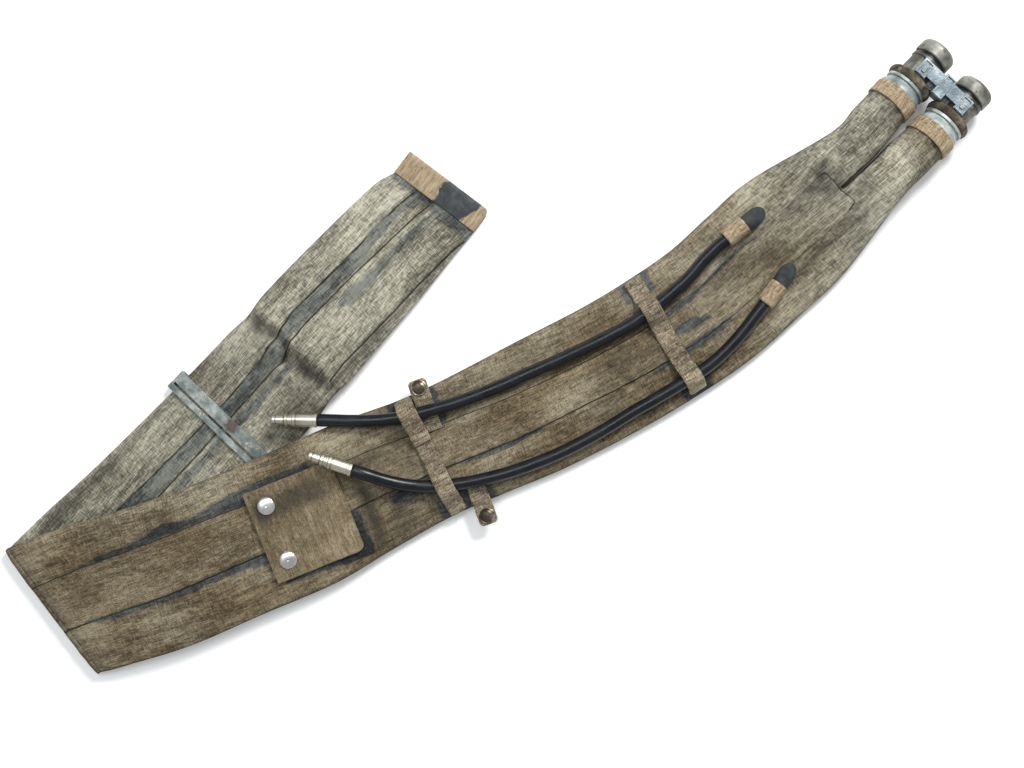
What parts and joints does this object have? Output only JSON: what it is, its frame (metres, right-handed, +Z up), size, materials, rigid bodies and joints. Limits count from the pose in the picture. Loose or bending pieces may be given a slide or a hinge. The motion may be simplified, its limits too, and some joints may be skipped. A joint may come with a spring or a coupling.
{
  "type": "inflatable life belt",
  "caption": "Twin-chamber cloth life belt, folded once flat, with gas-cartridge inflators at one end, oral hoses, keepers, a slide buckle and a snap flap.",
  "frame": {"origin": "under the middle of the bounding box, on the surface the belt lies on", "axes": "+Z up from the surface; +X along the box's longest side, from the fold towards the inflators; +Y across, towards the upper side as seen from above"},
  "size_m": [0.8295, 0.5344, 0.041],
  "materials": {
    "belt_cloth": "worn woven cloth with rubber backing",
    "strap_cloth": "worn woven cloth",
    "tan_cloth": "tan cotton tape",
    "black_rubber": "satin",
    "zinc": "dull zinc with pale corrosion",
    "nickel": "nickel plate",
    "blackened_metal": "blackened",
    "corroded_metal": "brown corrosion",
    "dull_metal": "dull grey, tarnished",
    "cast_alloy": "cast, satin",
    "steel": "plain"
  },
  "bodies": {
    "belt": {"front_chamber_upper": "belt_cloth", "front_chamber_lower": "belt_cloth", "belt_fold": "belt_cloth", "flap_anchor": "strap_cloth", "flap_snap_studs": "steel", "keeper_left_long": "strap_cloth", "keeper_left_short": "strap_cloth", "keeper_right": "strap_cloth", "tab_anchor_upper": "strap_cloth", "tab_anchor_lower": "strap_cloth", "hose_upper": "black_rubber", "hose_sleeve_upper": "tan_cloth", "nipple_patch_upper": "black_rubber", "valve_body_upper": "nickel", "valve_seat_upper": "black_rubber", "valve_spring_upper": "steel", "neck_upper": "zinc", "neck_band_upper": "tan_cloth", "barrel_upper": "dull_metal", "pin_guide_upper": "steel", "pin_spring_upper": "steel", "cartridge_upper": "steel", "hose_lower": "black_rubber", "hose_sleeve_lower": "tan_cloth", "nipple_patch_lower": "black_rubber", "valve_body_lower": "nickel", "valve_seat_lower": "black_rubber", "valve_spring_lower": "steel", "neck_lower": "zinc", "neck_band_lower": "tan_cloth", "barrel_lower": "dull_metal", "pin_guide_lower": "steel", "pin_spring_lower": "steel", "cartridge_lower": "steel", "bridge_block": "cast_alloy", "bridge_screws": "steel"},
    "tail": {"tail_chamber_upper": "belt_cloth", "tail_chamber_lower": "belt_cloth", "end_binding": "tan_cloth"},
    "buckle": {"slide_buckle": "zinc"},
    "flap": {"snap_flap": "strap_cloth", "flap_snap_caps": "nickel"},
    "squeeze_lever": {"squeeze_plate": "cast_alloy", "plate_clip": "steel"},
    "upper_tab": {"tab_upper": "strap_cloth", "tab_snap_upper": "blackened_metal"},
    "upper_mouthpiece": {"mouthpiece_upper": "nickel"},
    "upper_lock_ring": {"lock_ring_upper": "nickel"},
    "upper_union_ring": {"union_ring_upper": "corroded_metal"},
    "upper_pin": {"firing_pin_upper": "steel"},
    "upper_cap_seal": {"cap_seal_upper": "black_rubber"},
    "upper_cap": {"cap_upper": "dull_metal"},
    "lower_tab": {"tab_lower": "strap_cloth", "tab_snap_lower": "blackened_metal"},
    "lower_mouthpiece": {"mouthpiece_lower": "nickel"},
    "lower_lock_ring": {"lock_ring_lower": "nickel"},
    "lower_union_ring": {"union_ring_lower": "corroded_metal"},
    "lower_pin": {"firing_pin_lower": "steel"},
    "lower_cap_seal": {"cap_seal_lower": "black_rubber"},
    "lower_cap": {"cap_lower": "dull_metal"}
  },
  "joints": [
    {"name": "tail_fold", "type": "hinge", "parent": "belt", "child": "tail", "pos_m": [-0.371, -0.21169, 0.00555], "axis": [-0.6018, 0.7986, 0], "range_deg": [0, 180], "deforming": ["belt_fold"]},
    {"name": "buckle_slide", "type": "slide", "parent": "tail", "child": "buckle", "axis": [0.6947, 0.7193, 0], "range_m": [-0.035, 0.01]},
    {"name": "flap_open", "type": "hinge", "parent": "belt", "child": "flap", "pos_m": [-0.14047, -0.12861, 0.02215], "axis": [-0.3691, 0.9283, 0.0453], "range_deg": [0, 110]},
    {"name": "tab_upper_lift", "type": "hinge", "parent": "belt", "child": "upper_tab", "pos_m": [-0.05851, -0.03735, 0.0148], "axis": [0.9426, 0.3338, 0], "range_deg": [0, 80]},
    {"name": "tab_lower_lift", "type": "hinge", "parent": "belt", "child": "lower_tab", "pos_m": [-0.012, -0.11512, 0.0148], "axis": [-0.9361, -0.3518, 0], "range_deg": [0, 80]},
    {"name": "mouthpiece_upper_press", "type": "slide", "parent": "belt", "child": "upper_mouthpiece", "axis": [0.9998, -0.0175, 0], "range_m": [0, 0.0028], "stiffness_N_per_m": 600, "springref_m": -0.002, "deforming": ["valve_spring_upper"]},
    {"name": "lock_ring_upper_turn", "type": "hinge", "parent": "belt", "child": "upper_lock_ring", "pos_m": [-0.1477, -0.0511, 0.0203], "axis": [-0.9998, 0.0175, 0], "continuous": true},
    {"name": "union_ring_upper_turn", "type": "hinge", "parent": "belt", "child": "upper_union_ring", "pos_m": [0.34693, 0.23051, 0.0205], "axis": [0.6947, 0.7193, 0], "continuous": true},
    {"name": "mouthpiece_lower_press", "type": "slide", "parent": "belt", "child": "lower_mouthpiece", "axis": [0.9483, -0.3173, 0], "range_m": [0, 0.0028], "stiffness_N_per_m": 600, "springref_m": -0.002, "deforming": ["valve_spring_lower"]},
    {"name": "lock_ring_lower_turn", "type": "hinge", "parent": "belt", "child": "lower_lock_ring", "pos_m": [-0.1176, -0.09209, 0.0294], "axis": [-0.9483, 0.3173, 0], "continuous": true},
    {"name": "union_ring_lower_turn", "type": "hinge", "parent": "belt", "child": "lower_union_ring", "pos_m": [0.37858, 0.19995, 0.0205], "axis": [0.6947, 0.7193, 0], "continuous": true},
    {"name": "squeeze_press", "type": "slide", "parent": "belt", "child": "squeeze_lever", "axis": [0, 0, -1], "range_m": [0, 0.003], "stiffness_N_per_m": 1500, "springref_m": -0.002},
    {"name": "pin_upper_slide", "type": "slide", "parent": "belt", "child": "upper_pin", "axis": [-0.6947, -0.7193, 0], "range_m": [0, 0.003], "deforming": ["pin_spring_upper"]},
    {"name": "pin_lower_slide", "type": "slide", "parent": "belt", "child": "lower_pin", "axis": [-0.6947, -0.7193, 0], "range_m": [0, 0.003], "deforming": ["pin_spring_lower"]},
    {"name": "cap_upper_travel", "type": "slide", "parent": "belt", "child": "upper_cap_seal", "axis": [0.6947, 0.7193, 0], "range_m": [0, 0.0075]},
    {"name": "cap_upper_turn", "type": "hinge", "parent": "upper_cap_seal", "child": "upper_cap", "pos_m": [0.36638, 0.25065, 0.0205], "axis": [0.6947, 0.7193, 0], "range_deg": [0, 1800]},
    {"name": "cap_lower_travel", "type": "slide", "parent": "belt", "child": "lower_cap_seal", "axis": [0.6947, 0.7193, 0], "range_m": [0, 0.0075]},
    {"name": "cap_lower_turn", "type": "hinge", "parent": "lower_cap_seal", "child": "lower_cap", "pos_m": [0.39803, 0.22009, 0.0205], "axis": [0.6947, 0.7193, 0], "range_deg": [0, 1800]}
  ],
  "couplings": [
    {"joint": "pin_upper_slide", "follows": "squeeze_press", "ratio": 1},
    {"joint": "pin_lower_slide", "follows": "squeeze_press", "ratio": 1},
    {"joint": "cap_upper_travel", "follows": "cap_upper_turn", "m_per_rad": 0.00023873},
    {"joint": "cap_lower_travel", "follows": "cap_lower_turn", "m_per_rad": 0.00023873}
  ]
}
